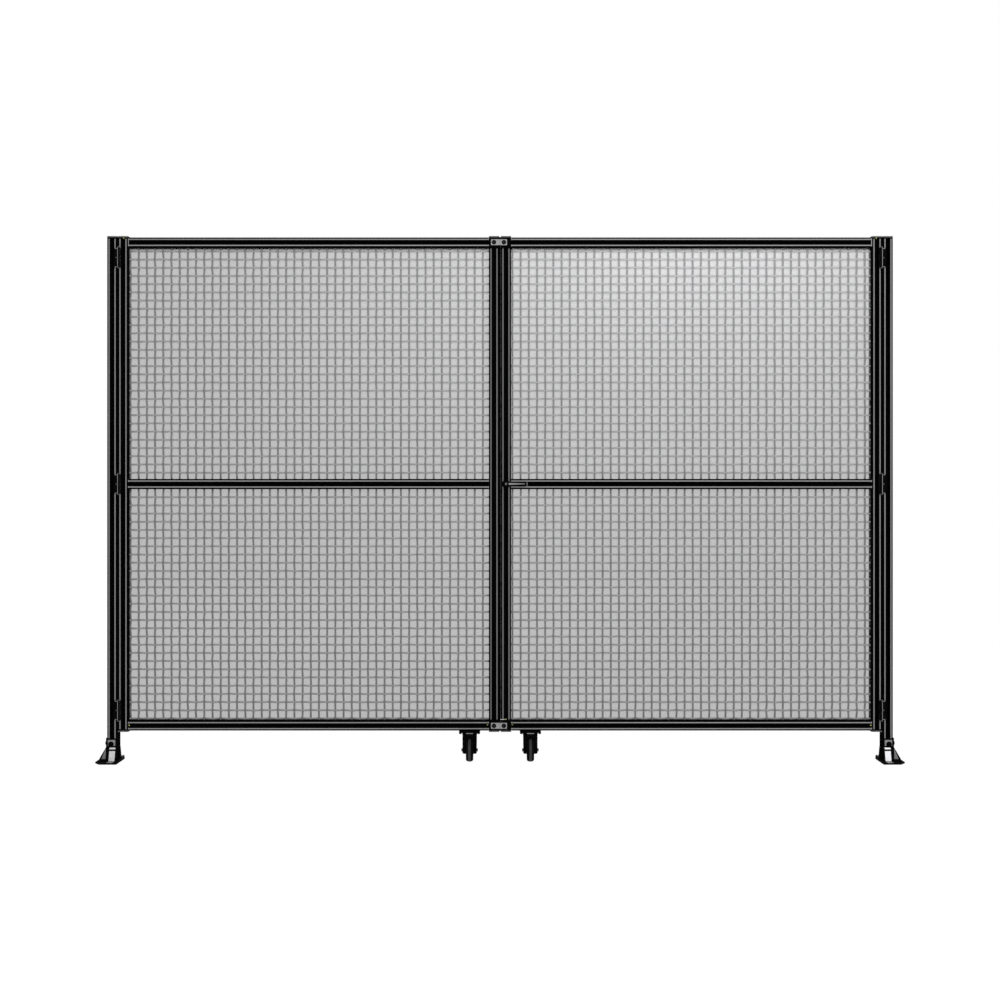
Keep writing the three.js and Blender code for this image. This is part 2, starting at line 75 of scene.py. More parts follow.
MESH_EDGE = 8  # how far a panel of the CAD reaches into the slots around it
PITCH = 36.03  # of the wires, both ways
COLUMNS, ROWS = 44, 28
FIRST_COLUMN = {"left": 2.9, "right": 6.2}  # from the left edge of the opening
FIRST_ROW = {"upper": 28.0, "lower": 4.6}  # from its lower edge
WIRE_SIDES = 8
WIRE_WIDE = 4.2  # half of a wire's width across the panel
WIRE_DEEP = 2.6  # half of its thickness
WIRE_END = 7  # how far a wire reaches into the slots
END_CRIMP = 1.9  # how far a wire bends to the front or rear at its ends
WANDER = 0.7  # how far a wire strays sideways between crossings

FILM_END = 7.5  # how far a film reaches into the slots
FILM_THICKNESS = 0.5
FILM_Y, FILM_MARGIN_Y = 6.5, 4.2  # front of a film's field and of its margins
SEAL_BOTTOM, SEAL_TOP = 130, 2300.2

CATCH_INNER = 0.3  # from the middle of the partition to a catch plate
CATCH_ENDS = {"left": 43, "right": 34}  # and to its far end
CATCH_SCREWS = {"left": LATCH_X, "right": 17}  # and to its screw
CATCH_HALF, CATCH_FACE_HALF, CATCH_RIM = 16.5, 13, 3.6
STOP_ABOVE = 27.5  # height of the stop over the middle of the bottom rail
HANDLE_HALF, TONGUE_HALF, TONGUE_DROP = 8.2, 8, 44

KNUCKLE_HIGHLIGHT_OUT = 1.6  # of a knuckle's painted highlight from its pin
KNUCKLE_HIGHLIGHT_GAP, KNUCKLE_HIGHLIGHT_END = 0.8, 42.6  # heights of its ends from the middle of the hinge
FLAP_HALF = 43  # half of a flap's height
LEAF_MARKS = ((-40, 17), (0, 12.5), (40, 17))  # height, and end from the pin

ANCHOR_OUT, ANCHOR_SIDE = 42.5, 50  # of a floor anchor from the middle of its post
FOOT_BOLT_Z = 77.5

PLATE_BOLT_X, PLATE_BOLT_Y = 40, 31  # from the middle of a caster's plate
HOOD_HALF = 27  # half of the width of a caster's hood and bridge
HOOD_OUTSIDE, HOOD_INSIDE = 54.5, 52
LINER_OUTSIDE, LINER_INSIDE, LINER_RADIUS = 27.1, 16.4, 17
WHEEL_RADIUS, HALF_TREAD = 50, 15.5

# Reach, thickness and depth of the painted highlight where the rails meet the stiles.
JOINT_HIGHLIGHT_REACH, JOINT_HIGHLIGHT_THICKNESS = 17, 3
JOINT_HIGHLIGHT_FRONT, JOINT_HIGHLIGHT_REAR = -23.2, -22.2

# The picture's frame, in pixels, and the camera's sensor in millimetres and place in metres.
PICTURE_PIXELS, FOCAL_PIXELS, SENSOR = 1000, 1072, 36
CAMERA_PLACE = (0, -4.7135, 1.145)
LIT_PLACE = (0, 0, 1.1)  # where both lamps point
FLOOR_HALF = 40


# ---- Materials ----

def new_material(name):
    """A material with nodes, and what is needed to link them."""
    material = bpy.data.materials.new(name)
    material.use_nodes = True
    nodes = material.node_tree.nodes
    return material, nodes, material.node_tree.links, nodes["Principled BSDF"]


def noise_factor(nodes, links, scale, stretch, detail):
    """Noise in the object's own coordinates, drawn out by stretch."""
    place = nodes.new("ShaderNodeTexCoord")
    mapping = nodes.new("ShaderNodeMapping")
    mapping.inputs["Scale"].default_value = stretch
    noise = nodes.new("ShaderNodeTexNoise")
    noise.inputs["Scale"].default_value = scale
    noise.inputs["Detail"].default_value = detail
    links.new(place.outputs["Object"], mapping.inputs["Vector"])
    links.new(mapping.outputs["Vector"], noise.inputs["Vector"])
    return noise.outputs["Fac"]


def ramp(nodes, links, factor, low, high, start=0.3, end=0.7):
    """A colour from low to high as factor goes from start to end."""
    colours = nodes.new("ShaderNodeValToRGB")
    colours.color_ramp.elements[0].position = start
    colours.color_ramp.elements[1].position = end
    colours.color_ramp.elements[0].color = (*low, 1)
    colours.color_ramp.elements[1].color = (*high, 1)
    links.new(factor, colours.inputs["Fac"])
    return colours.outputs["Color"]


def spread(nodes, links, factor, low, high):
    """A value from low to high as noise goes through most of its range."""
    span = nodes.new("ShaderNodeMapRange")
    span.inputs["From Min"].default_value = 0.3
    span.inputs["From Max"].default_value = 0.7
    span.inputs["To Min"].default_value = low
    span.inputs["To Max"].default_value = high
    links.new(factor, span.inputs["Value"])
    return span.outputs["Result"]


def add_grain(nodes, links, shader, scale, stretch, depth):
    """A fine bump on the shader's surface."""
    bump = nodes.new("ShaderNodeBump")
    bump.inputs["Strength"].default_value = depth
    bump.inputs["Distance"].default_value = 0.1 * MM
    links.new(noise_factor(nodes, links, scale, stretch, 2.0), bump.inputs["Height"])
    links.new(bump.outputs["Normal"], shader.inputs["Normal"])


def finish_material(name, low, high, roughness, specular, metallic, scale, stretch, grain, depth):
    """A colour and a roughness that wander between two values, under a fine surface grain."""
    material, nodes, links, shader = new_material(name)
    cloud = noise_factor(nodes, links, scale, stretch, 4.0)
    links.new(ramp(nodes, links, cloud, low, high), shader.inputs["Base Color"])
    links.new(spread(nodes, links, cloud, roughness[0], roughness[1]), shader.inputs["Roughness"])
    shader.inputs["Metallic"].default_value = metallic
    shader.inputs["Specular IOR Level"].default_value = specular
    add_grain(nodes, links, shader, grain, stretch, depth)
    return material


def grey(value):
    """A grey with a trace of blue."""
    return (value, value, value * 1.02)


ALL_WAYS = (1, 1, 1)
ALONG_Z = (1, 1, 0.02)
ALONG_X = (0.02, 1, 1)
BLACK_UP = finish_material(
    "anodised_black_up", grey(0.001), grey(0.004), (0.6, 0.75), 0, 0, 60, ALONG_Z, 1600, 0.2)
BLACK_ACROSS = finish_material(
    "anodised_black_across", grey(0.001), grey(0.004), (0.6, 0.75), 0, 0, 60, ALONG_X, 1600, 0.2)
# The lands' light grey is a painted highlight where the flats of the profile catch light. The same painted
# highlight is lighter on the rails and darker on the meeting stiles.
HIGHLIGHT_LAND_UP = finish_material(
    "painted_highlight_land_up", grey(0.2), grey(0.26), (0.45, 0.6), 0.2, 0, 70, ALONG_Z, 1800, 0.25)
HIGHLIGHT_LAND_DIM = finish_material(
    "painted_highlight_land_meeting", grey(0.14), grey(0.18), (0.45, 0.6), 0.2, 0, 70, ALONG_Z, 1800, 0.25)
HIGHLIGHT_LAND_ACROSS = finish_material(
    "painted_highlight_land_across", grey(0.23), grey(0.3), (0.45, 0.6), 0.2, 0, 70, ALONG_X, 1800, 0.25)
BLACK = finish_material(
    "satin_black", grey(0.001), grey(0.004), (0.6, 0.75), 0.01, 0, 70, ALL_WAYS, 1500, 0.3)
MOULDED = finish_material(
    "moulded_black", grey(0.002), grey(0.005), (0.6, 0.8), 0.01, 0, 90, ALL_WAYS, 2500, 0.4)
END_CAP = finish_material(
    "end_cap_plastic", grey(0.13), grey(0.17), (0.6, 0.8), 0.1, 0, 90, ALL_WAYS, 2500, 0.4)
RUBBER = finish_material(
    "black_rubber", grey(0.002), grey(0.006), (0.75, 0.9), 0.01, 0, 50, ALL_WAYS, 1200, 0.4)
# A lighter rubber grey, used as a painted highlight round the middle of the tread.
TREAD_HIGHLIGHT = finish_material(
    "tread_painted_highlight", grey(0.02), grey(0.045), (0.6, 0.8), 0.2, 0, 45, ALL_WAYS, 1200, 0.4)
DARK_STEEL = finish_material(
    "dark_steel", grey(0.05), grey(0.09), (0.35, 0.5), 0.3, 0.3, 120, ALL_WAYS, 1500, 0.2)
# Bare grey metal on the foot plates, and a painted highlight on the knuckles, the race, the rail joints and
# the lever.
BARE_METAL_AND_HIGHLIGHT = finish_material(
    "bare_grey_metal_and_painted_highlight", grey(0.2), grey(0.27), (0.4, 0.55), 0.3, 0.1, 80, ALONG_X, 1500, 0.25)
PALE = finish_material(
    "pale_zinc", grey(0.6), grey(0.72), (0.4, 0.55), 0.3, 0.1, 80, ALL_WAYS, 1200, 0.3)
# The same zinc painted brighter, as a highlight on the right foot's faces.
ZINC_PAINTED_HIGHLIGHT = finish_material(
    "zinc_painted_highlight", grey(0.88), grey(0.97), (0.4, 0.55), 0.3, 0.1, 80, ALL_WAYS, 1200, 0.3)
CATCH = finish_material(
    "brushed_catch", grey(0.26), grey(0.32), (0.4, 0.55), 0.3, 0.1, 80, ALONG_X, 1500, 0.25)
YELLOW = finish_material(
    "yellow_zinc", (0.42, 0.4, 0.1), (0.5, 0.48, 0.16), (0.35, 0.5), 0.4, 0.2, 200, ALL_WAYS, 1500, 0.2)


def painted_panel_highlight(nodes, links):
    """A painted highlight over a panel, from 0 to about 1: palest near the top, right of the middle, with a
    slight random drift.
    """
    place = nodes.new("ShaderNodeTexCoord")
    away = nodes.new("ShaderNodeVectorMath")
    away.operation = "SUBTRACT"
    away.inputs[1].default_value = (0.83, 0, 2.5)
    links.new(place.outputs["Object"], away.inputs[0])
    wide = nodes.new("ShaderNodeVectorMath")
    wide.operation = "MULTIPLY"
    wide.inputs[1].default_value = (-0.72, 0, -1.31)
    links.new(away.outputs[0], wide.inputs[0])
    distance = nodes.new("ShaderNodeVectorMath")
    distance.operation = "LENGTH"
    links.new(wide.outputs[0], distance.inputs[0])
    fade = nodes.new("ShaderNodeMath")
    fade.operation = "POWER"
    fade.inputs[0].default_value = 1 / math.e
    links.new(distance.outputs["Value"], fade.inputs[1])
    cloud = noise_factor(nodes, links, 2.0, ALL_WAYS, 3.0)
    drift = spread(nodes, links, cloud, -0.012, 0.012)
    highlight_and_drift = nodes.new("ShaderNodeMath")
    highlight_and_drift.operation = "ADD"
    links.new(fade.outputs[0], highlight_and_drift.inputs[0])
    links.new(drift, highlight_and_drift.inputs[1])
    return highlight_and_drift.outputs[0]


def panel_material(name, low, high, roughness, alpha, depth):
    """A grey that carries the panel's painted highlight, with a fine grain where depth says so."""
    material, nodes, links, shader = new_material(name)
    highlight_and_drift = painted_panel_highlight(nodes, links)
    links.new(ramp(nodes, links, highlight_and_drift, grey(low), grey(high), 0.0, 1.0), shader.inputs["Base Color"])
    shader.inputs["Roughness"].default_value = roughness
    shader.inputs["Specular IOR Level"].default_value = 0.2
    shader.inputs["Alpha"].default_value = alpha
    if depth:
        add_grain(nodes, links, shader, 700, ALL_WAYS, depth)
    return material


# The film and both kinds of wire carry the painted highlight, palest near the top, right of the middle.
FILM = panel_material("panel_film", 0.1, 0.93, 0.6, 0.35, 0)
# The level wires are painted lighter than the upright ones, standing in for light from above on their tops.
WIRE_UP = panel_material("wire_upright", 0.17, 0.42, 0.55, 1.0, 0.3)
WIRE_ACROSS = panel_material("wire_level", 0.27, 0.64, 0.55, 1.0, 0.3)


# ---- Shape helpers ----

TURNS = {
    "x": Matrix.Rotation(math.pi / 2, 4, "Y"),
    "y": Matrix.Rotation(-math.pi / 2, 4, "X"),
    "z": Matrix.Identity(4),
}


def add_object(name, mesh, body, materials, smooth_angle):
    """A piece from a finished mesh, on its body."""
    piece = bpy.data.objects.new(name, mesh)
    bpy.context.collection.objects.link(piece)
    for material in materials:
        mesh.materials.append(material)
    if smooth_angle is not None:
        mesh.polygons.foreach_set("use_smooth", [True] * len(mesh.polygons))
        mesh.set_sharp_from_angle(angle=math.radians(smooth_angle))
    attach(piece, body)
    return piece


def soften(piece, width):
    """Rounds a piece's sharp edges by width, in millimetres."""
    bevel = piece.modifiers.new("soft_edges", "BEVEL")
    bevel.width = width * MM
    bevel.segments = 2
    bevel.limit_method = "ANGLE"
    bevel.angle_limit = math.radians(40)
    bevel.use_clamp_overlap = True


def finish_piece(work, name, body, materials, edge=0.0, smooth_angle=35):
    """A piece from a bmesh, with its edges rounded by edge."""
    bmesh.ops.recalc_face_normals(work, faces=work.faces)
    mesh = bpy.data.meshes.new(name)
    work.to_mesh(mesh)
    work.free()
    piece = add_object(name, mesh, body, materials, smooth_angle)
    if edge:
        soften(piece, edge)
    return piece


def block(work, low, high, skin=0):
    """A box between two corners."""
    a, b = Vector(low) * MM, Vector(high) * MM
    size = Matrix.Diagonal((*(b - a), 1))
    made = bmesh.ops.create_cube(work, size=1, matrix=Matrix.Translation((a + b) / 2) @ size)
    for face in {f for v in made["verts"] for f in v.link_faces}:
        face.material_index = skin


def lathe(work, axis, centre, outline, steps=32, skin=0):
    """Turns outline, pairs of radius and distance along the axis, about an axis through centre."""
    place = Matrix.Translation(Vector(centre) * MM) @ TURNS[axis]
    rings = []
    for radius, along in outline:
        if radius == 0:
            rings.append([work.verts.new(place @ Vector((0, 0, along * MM)))])
            continue
        ring = []
        for k in range(steps):
            angle = 2 * math.pi * k / steps
            spot = Vector((radius * math.cos(angle), radius * math.sin(angle), along)) * MM
            ring.append(work.verts.new(place @ spot))
        rings.append(ring)
    if outline[0][0] and outline[-1][0]:
        rings.append(rings[0])
    for a, b in zip(rings, rings[1:]):
        for k in range(steps):
            m = (k + 1) % steps
            corners = [a[k % len(a)], a[m % len(a)], b[m % len(b)], b[k % len(b)]]
            work.faces.new(list(dict.fromkeys(corners))).material_index = skin


def sweep(work, rings, skin=0):
    """A solid through rings of points that all have the same number of corners, closed at both ends."""
    made = [[work.verts.new(Vector(point) * MM) for point in ring] for ring in rings]
    count = len(made[0])
    for a, b in zip(made, made[1:]):
        for k in range(count):
            m = (k + 1) % count
            work.faces.new((a[k], a[m], b[m], b[k])).material_index = skin
    work.faces.new(made[0][::-1]).material_index = skin
    work.faces.new(made[-1]).material_index = skin


def body_of(node):
    """The body that a CAD node belongs to."""
    for name, body in frame["record"]["behaviour"]["bodies"].items():
        if node in body:
            return name
    raise ValueError(node)


# ---- Slotted profiles ----

def profile_section(upright):
    """The outline of a square profile with a T-slot in each face, and which edges are lands that carry a
    painted highlight.
    """
    face = [
        (15.7, 22.3), (15.5, HALF), (10.9, HALF), (10.7, 22.3), (5.7, 22.3), (5.0, 21.6), (5.0, 18.0),
        (5.5, 17.5), (11.0, 17.5), (11.5, 17.0), (11.5, 14.5), (5.0, 8.0),
    ]
    side = face + [(-t, n) for t, n in reversed(face)]
    centre, radius, steps = 18.5, 3.8, 5
    corner = []
    for k in range(steps + 1):
        angle = math.radians(90 + 90 * k / steps)
        corner.append((-centre + radius * math.cos(angle), centre + radius * math.sin(angle)))
    points, light = [], []
    for quarter in range(4):
        for k, (x, y) in enumerate(side + corner):
            for _ in range(quarter):
                x, y = -y, x
            points.append((x, y))
            light.append(k in (1, len(side) - 3) and quarter % 2 == (0 if upright else 1))
    return points, light


def profile_bar(node, upright, land):
    """A length of slotted profile in the box of its CAD node. The painted highlight on its lands stops
    short of the ends, which stay black.
    """
    low, high = (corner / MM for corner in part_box(node))
    points, light = profile_section(upright)
    count = len(points)
    axis = 2 if upright else 0
    # How far from each end the painted highlight on the lands stops.
    highlight_stop = 50 if "meeting" in node else 7 if upright else 1.5
    rings = []
    for along in (low[axis], low[axis] + highlight_stop, high[axis] - highlight_stop, high[axis]):
        if upright:
            rings.append([((low[0] + high[0]) / 2 + u, v, along) for u, v in points])
        else:
            rings.append([(along, u, (low[2] + high[2]) / 2 + v) for u, v in points])
    work = bmesh.new()
    sweep(work, rings)
    work.faces.ensure_lookup_table()
    for k in range(count):
        work.faces[count + k].material_index = 1 if light[k] else 0
    bmesh.ops.triangulate(work, faces=work.faces[3 * count:])
    # The lands take the painted highlight.
    skins = [BLACK_UP if upright else BLACK_ACROSS, land]
    bar = finish_piece(work, node + "_bar", body_of(node), skins)
    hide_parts(node)


# ---- Woven mesh and the film behind it ----

def add_wire(verts, faces, path, along):
    """A flattened wire through the points of path, which runs along one axis of the frame."""
    sides = WIRE_SIDES
    first = len(verts)
    for x, y, z in path:
        for k in range(sides):
            angle = 2 * math.pi * (k + 0.5) / sides
            wide, deep = WIRE_WIDE * math.cos(angle), WIRE_DEEP * math.sin(angle)
            point = (x + wide, y + deep, z) if along == "z" else (x, y + deep, z + wide)
            verts.append(tuple(value * MM for value in point))
    for ring in range(len(path) - 1):
        a = first + ring * sides
        for k in range(sides):
            m = (k + 1) % sides
            faces.append((a + k, a + m, a + sides + m, a + sides + k))
    faces.append(tuple(range(first + sides - 1, first - 1, -1)))
    last = first + (len(path) - 1) * sides
    faces.append(tuple(range(last, last + sides)))


def weave_path(start, stop, crossings, sign, chance):
    """Places along a wire, each with its crimp to the front or rear and how far it strays sideways."""
    strays = [chance.uniform(-WANDER, WANDER) for _ in range(len(crossings) + 3)]
    path = []
    count = int((stop - start) / (PITCH / 4))
    for k in range(count + 1):
        s = start + (stop - start) * k / count
        turn = (s - crossings[0]) / PITCH
        inside = min(s - start, stop - s) - WIRE_END
        flat = max(0.0, min(1.0, inside / 6))
        crimp = sign * math.cos(math.pi * turn) * (END_CRIMP + (WIRE_DEEP - END_CRIMP) * flat)
        low = max(0, min(len(strays) - 2, int(math.floor(turn + 1))))
        part = turn + 1 - low
        ease = part * part * (3 - 2 * part)
        path.append((s, crimp, strays[low] * (1 - ease) + strays[low + 1] * ease))
    return path


def panel_edges(side, level):
    """Left, right, lower and upper edges of the opening that a mesh panel fills."""
    low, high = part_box(f"{side}_{level}_mesh")
    return (low[0] / MM + MESH_EDGE, high[0] / MM - MESH_EDGE,
            low[2] / MM + MESH_EDGE, high[2] / MM - MESH_EDGE)


def woven_panel(side, level, seed):
    """The crimped wires of one panel: upright and level ones, each passing in front and behind by turns."""
    x0, x1, z0, z1 = panel_edges(side, level)
    columns = [x0 + FIRST_COLUMN[side] + PITCH * k for k in range(COLUMNS)]
    rows = [z0 + FIRST_ROW[level] + PITCH * k for k in range(ROWS)]
    chance = random.Random(seed)
    wires = {"upright": ([], []), "level": ([], [])}
    for i, x in enumerate(columns):
        path = weave_path(z0 - WIRE_END, z1 + WIRE_END, rows, 1 if i % 2 == 0 else -1, chance)
        add_wire(*wires["upright"], [(x + stray, crimp, s) for s, crimp, stray in path], "z")
    for j, z in enumerate(rows):
        path = weave_path(x0 - WIRE_END, x1 + WIRE_END, columns, -1 if j % 2 == 0 else 1, chance)
        add_wire(*wires["level"], [(s, crimp, z + stray) for s, crimp, stray in path], "x")
    for kind, (verts, faces) in wires.items():
        name = f"{side}_{level}_{kind}_wires"
        mesh = bpy.data.meshes.new(name)
        mesh.from_pydata(verts, [], faces)
        skin = WIRE_UP if kind == "upright" else WIRE_ACROSS
        add_object(name, mesh, f"{side}_leaf", [skin], 50)


def film_panel(side, level):
    """The film behind a panel's wires. Its margins step forward into the slots."""
    x0, x1, z0, z1 = panel_edges(side, level)
    xs = [x0 - FILM_END, x0 - 0.5, x0 + 5, x1 - 5, x1 + 0.5, x1 + FILM_END]
    zs = [z0 - FILM_END, z0 - 0.5, z0 + 5, z1 - 5, z1 + 0.5, z1 + FILM_END]
    work = bmesh.new()
    sheets = []
    for depth in (0, FILM_THICKNESS):
        sheet = []
        for i, x in enumerate(xs):
            column = []
            for j, z in enumerate(zs):
                field = 2 <= i <= 3 and 2 <= j <= 3
                y = (FILM_Y if field else FILM_MARGIN_Y) + depth
                column.append(work.verts.new(Vector((x, y, z)) * MM))
            sheet.append(column)
        sheets.append(sheet)
    last = len(xs) - 1
    for sheet in sheets:
        for i in range(last):
            for j in range(last):
                work.faces.new((sheet[i][j], sheet[i + 1][j], sheet[i + 1][j + 1], sheet[i][j + 1]))
    rim = [(i, 0) for i in range(last)] + [(last, j) for j in range(last)]
    rim += [(i, last) for i in range(last, 0, -1)] + [(0, j) for j in range(last, 0, -1)]
    for (i, j), (m, n) in zip(rim, rim[1:] + rim[:1]):
        work.faces.new((sheets[0][i][j], sheets[0][m][n], sheets[1][m][n], sheets[1][i][j]))
    film = finish_piece(work, f"{side}_{level}_film", f"{side}_leaf", [FILM], smooth_angle=None)
    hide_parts(f"{side}_{level}_mesh")


def meeting_seal():
    """A rubber edging in the left meeting stile's side slot. It closes the gap between the leaves."""
    half = [(-11, 6), (-8.6, 8), (-8.6, 4.4), (-3.7, 4.4), (-3.7, 7), (-2.9, 7), (-1.5, 4.4), (1.5, 3.6),
            (3.1, 2.2), (3.65, 0.8)]
    points = half + [(x, -y) for x, y in reversed(half)]
    work = bmesh.new()
    sweep(work, [[(x, y, z) for x, y in points] for z in (SEAL_BOTTOM, SEAL_TOP)])
    finish_piece(work, "left_meeting_seal", "left_leaf", [RUBBER])


# ---- Catches ----

def catch_plate(side, sign, place, z):
    """A black-rimmed half-plate with a grey face, and its round-headed screw."""
    end, hole = CATCH_ENDS[side], CATCH_SCREWS[side]
    work = bmesh.new()
    x0, x1 = sorted((sign * CATCH_INNER, sign * end))
    block(work, (x0, -25.2, z - CATCH_HALF), (x1, -22.8, z + CATCH_HALF))
    x0, x1 = sorted((sign * CATCH_INNER, sign * (end - CATCH_RIM)))
    block(work, (x0, -25.8, z - CATCH_FACE_HALF), (x1, -25.0, z + CATCH_FACE_HALF), 1)
    name = f"{side}_{place}_catch"
    plate = finish_piece(work, name + "_face", f"{side}_leaf", [BLACK, CATCH], 0.3)
    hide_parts(name + "_plate")
    work = bmesh.new()
    lathe(work, "y", (sign * hole, 0, z), [
        (0, -27.4), (2.6, -27.4), (2.9, -29.4), (4.6, -29.7), (7.8, -29), (9.6, -27.4), (9.7, -25.8),
        (4.1, -25.8), (4.1, -12), (0, -12),
    ], 30)
    lathe(work, "y", (sign * hole, 0, z), [(0, -27.6), (2.3, -27.6), (2.3, -27.2), (0, -27.2)], 6, 1)
    finish_piece(work, name + "_screw", f"{side}_leaf", [BLACK, DARK_STEEL])


def stop_strip():
    """The thin bright stop above the bottom catch, and its screw."""
    work = bmesh.new()
    z = BOTTOM_RAIL_Z + STOP_ABOVE
    block(work, (1, -24.6, z - 1), (22, -22.4, z + 1))
    head = [(0, -24.6), (1.8, -24.6), (2.5, -23.8), (2.5, -17), (0, -17)]
    lathe(work, "y", (LATCH_X, 0, z), head, 18, 1)
    finish_piece(work, "right_bottom_stop", "right_leaf", [PALE, YELLOW], 0.3)


# ---- Latch ----

def bar_ring(x, y0, y1, z0, z1, cut):
    """A cut-cornered ring across a bar that runs along X."""
    return [
        (x, y0 + cut, z0), (x, y1 - cut, z0), (x, y1, z0 + cut), (x, y1, z1 - cut),
        (x, y1 - cut, z1), (x, y0 + cut, z1), (x, y0, z1 - cut), (x, y0, z0 + cut),
    ]


def latch_lever():
    """The lever with its spindle and the tongue behind the stile, and bright faces on the lever that are a
    painted highlight on its facets.
    """
    x, z = LATCH_X, MIDDLE_Z
    work = bmesh.new()
    lathe(work, "y", (x, 0, z), [
        (0, -44.2), (4.0, -44.2), (4.6, -44.8), (8.4, -44.8), (10, -43.2), (10, -30.5), (11.2, -28.1),
        (4.7, -28.1), (4.7, 22.9), (10, 22.9), (10, 27.6), (9.2, 28.5), (0, 28.5),
    ], 36)
    sweep(work, [
        bar_ring(x + 4, -44.2, -35.8, z - 9.4, z + 9.4, 2.5),
        bar_ring(x + 20, -44.4, -35.8, z - 8.4, z + 8.4, 2.4),
        bar_ring(x + 60, -44.2, -36, z - 7, z + 7, 2.2),
        bar_ring(x + 82, -43.8, -36.2, z - 6.3, z + 6.3, 2),
    ])
    sweep(work, [
        bar_ring(x + 83.5, -44.2, -35.9, z - 7.2, z + 7.2, 2.2),
        bar_ring(x + 90, -44.6, -35.8, z - 7.8, z + 7.8, 2.6),
        bar_ring(x + 94.2, -43.6, -36.8, z - 6.6, z + 6.6, 3),
        bar_ring(x + 95, -42.4, -38, z - 4.4, z + 4.4, 2),
    ])
    half, tip = TONGUE_HALF, z - TONGUE_DROP
    bends = (-1.57, -1.05, -0.52, 0, 0.52, 1.05, 1.57)
    rounded = [(x + half * math.sin(a), tip - half * math.cos(a)) for a in bends]
    tongue = [(x - half, z), *rounded, (x + half, z)]
    sweep(work, [[(u, y, w) for u, w in tongue] for y in (23.5, 28.5)])
    lever = finish_piece(work, "latch_handle", "latch", [BLACK], 0.4)
    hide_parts("latch_lever")
    # Bright faces on the lever's front, end and hub: a painted highlight where its facets catch light.
    work = bmesh.new()
    lit_facet = ((12, -4.2), (70, -1.6), (82, -1.2), (82, 1.6), (70, 2), (12, 4.2))
    sweep(work, [[(x + u, y, z + w) for u, w in lit_facet] for y in (-44.9, -44.0)])
    low, high = z - HANDLE_HALF, z + HANDLE_HALF
    sweep(work, [bar_ring(u, -44.9, -35.6, low, high, 2.6) for u in (x + 90.6, x + 93)])
    lathe(work, "y", (x, 0, z), [(2.4, -44.6), (4.4, -44.6), (4.4, -44.1), (2.4, -44.1)], 24)
    finish_piece(work, "latch_bright_faces", "latch", [BARE_METAL_AND_HIGHLIGHT], 0.15)


# ---- Hinges ----

def hinge_details(side, sign):
    """Each knuckle's painted highlight, a bright strip down the barrel, and the flaps that cover the lands
    beside it.
    """
    leaf = f"{side}_leaf"
    x = sign * (HINGE_X + KNUCKLE_HIGHLIGHT_OUT)
    for place, z in HINGE_HEIGHTS:
        for part, body, way in (("post", "posts", -1), ("door", leaf, 1)):
            work = bmesh.new()
            z0, z1 = sorted((z + way * KNUCKLE_HIGHLIGHT_GAP, z + way * KNUCKLE_HIGHLIGHT_END))
            # A bright strip down the knuckle: a painted highlight where the barrel catches light.
            block(work, (x - 1.2, -35.4, z0), (x + 1.2, -33.8, z1))
            finish_piece(work, f"{side}_{place}_{part}_seam", body, [BARE_METAL_AND_HIGHLIGHT], 0.2)
        work = bmesh.new()
        x0, x1 = sorted((sign * (POST_X - 21.5), sign * (POST_X - 9)))
        block(work, (x0, -24, z - FLAP_HALF), (x1, -22.4, z + FLAP_HALF))
        for height, end in LEAF_MARKS:
            x0, x1 = sorted((sign * (HINGE_X + 7.5), sign * (HINGE_X + end)))
            block(work, (x0, -25.2, z + height - 1.5), (x1, -23.8, z + height + 1.5), 1)
        finish_piece(work, f"{side}_{place}_hinge_flap", "posts", [BLACK, BARE_METAL_AND_HIGHLIGHT], 0.3)
        work = bmesh.new()
        x0, x1 = sorted((sign * (STILE_X + 8.5), sign * (STILE_X + 12)))
        block(work, (x0, -24, z - FLAP_HALF), (x1, -22.4, z + FLAP_HALF))
        finish_piece(work, f"{side}_{place}_door_flap", leaf, [BLACK], 0.3)


# ---- Feet ----

def arm_plate(work, sign, spin, outline, across, skin):
    """A plate across a foot's arm. The outline says how far out and how high its corners are."""
    rings = []
    for t in across:
        ring = []
        for n, z in outline:
            spot = spin @ Vector((n, t, 0))
            ring.append((sign * (POST_X + spot.x), spot.y, z))
        rings.append(ring)
    sweep(work, rings, skin)


